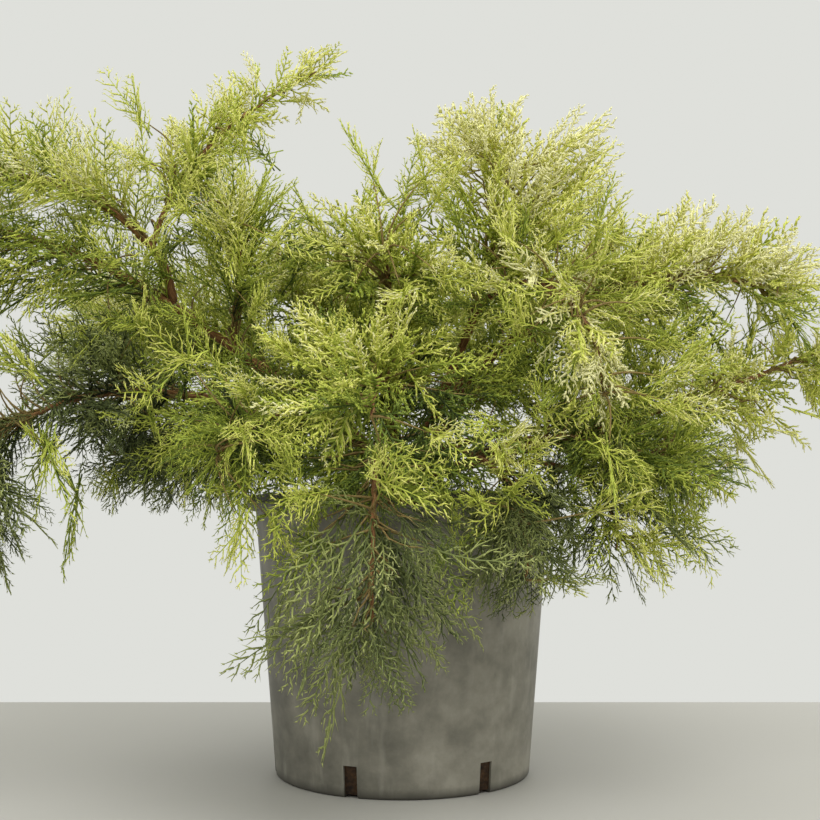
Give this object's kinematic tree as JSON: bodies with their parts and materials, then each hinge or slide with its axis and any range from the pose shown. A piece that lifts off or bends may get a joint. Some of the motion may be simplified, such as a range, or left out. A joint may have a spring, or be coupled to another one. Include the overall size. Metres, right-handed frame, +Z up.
{
  "type": "potted golden pfitzer juniper",
  "caption": "Spreading golden juniper shrub standing in a dark plastic nursery pot, its boughs arching out and drooping over the rim.",
  "frame": {"origin": "middle of the pot's flat underside", "axes": "+Z up the pot's axis, -Y towards the side the picture shows, +X to the right of that view"},
  "size_m": [0.897, 0.6474, 0.676],
  "materials": {
    "pot_plastic": "moulded black polypropylene, weathered to a chalky mid grey",
    "compost": "damp dark brown compost",
    "bark": "thin red-brown bark that peels in strips",
    "foliage_gold": "scale and needle leaves, yellow-gold at the tips",
    "foliage_green": "thread-like needle leaves, mid to blue-green in the shade"
  },
  "bodies": {
    "root": {"pot": "pot_plastic", "compost": "compost", "stem": "bark", "bough_left_upper": "bark", "bough_left_fork": "bark", "bough_leader": "bark", "bough_left_inner": "bark", "bough_left_lower": "bark", "bough_left_under": "bark", "bough_left_front": "bark", "bough_front_middle": "bark", "bough_front_fall": "bark", "bough_front_crest": "bark", "bough_centre_crest": "bark", "bough_right_upper": "bark", "bough_right_arch": "bark", "bough_right_middle": "bark", "bough_right_outer": "bark", "bough_right_lower": "bark", "bough_right_skirt": "bark", "bough_right_fall": "bark", "bough_back_left": "bark", "bough_back_left_low": "bark", "bough_back": "bark", "bough_back_fall": "bark", "bough_back_right": "bark", "bough_back_right_low": "bark", "foliage_left_middle": "foliage_gold", "foliage_left_crest": "foliage_gold", "foliage_left_leader": "foliage_gold", "foliage_left_inner": "foliage_gold", "foliage_left_shoulder": "foliage_green", "foliage_left_fall": "foliage_green", "foliage_left_under": "foliage_green", "foliage_left_front": "foliage_green", "foliage_front_middle": "foliage_green", "foliage_front_shoulder": "foliage_green", "foliage_front_fall": "foliage_green", "foliage_front_crest": "foliage_gold", "foliage_centre_crest": "foliage_gold", "foliage_right_crest": "foliage_gold", "foliage_right_arch": "foliage_gold", "foliage_right_arch_tip": "foliage_gold", "foliage_right_shoulder": "foliage_gold", "foliage_right_outer": "foliage_gold", "foliage_right_lower": "foliage_green", "foliage_right_skirt": "foliage_green", "foliage_right_fall": "foliage_green", "foliage_back_left": "foliage_gold", "foliage_back_left_low": "foliage_green", "foliage_back_crest": "foliage_gold", "foliage_back_fall": "foliage_green", "foliage_back_right": "foliage_gold", "foliage_back_right_low": "foliage_green"}
  },
  "joints": []
}
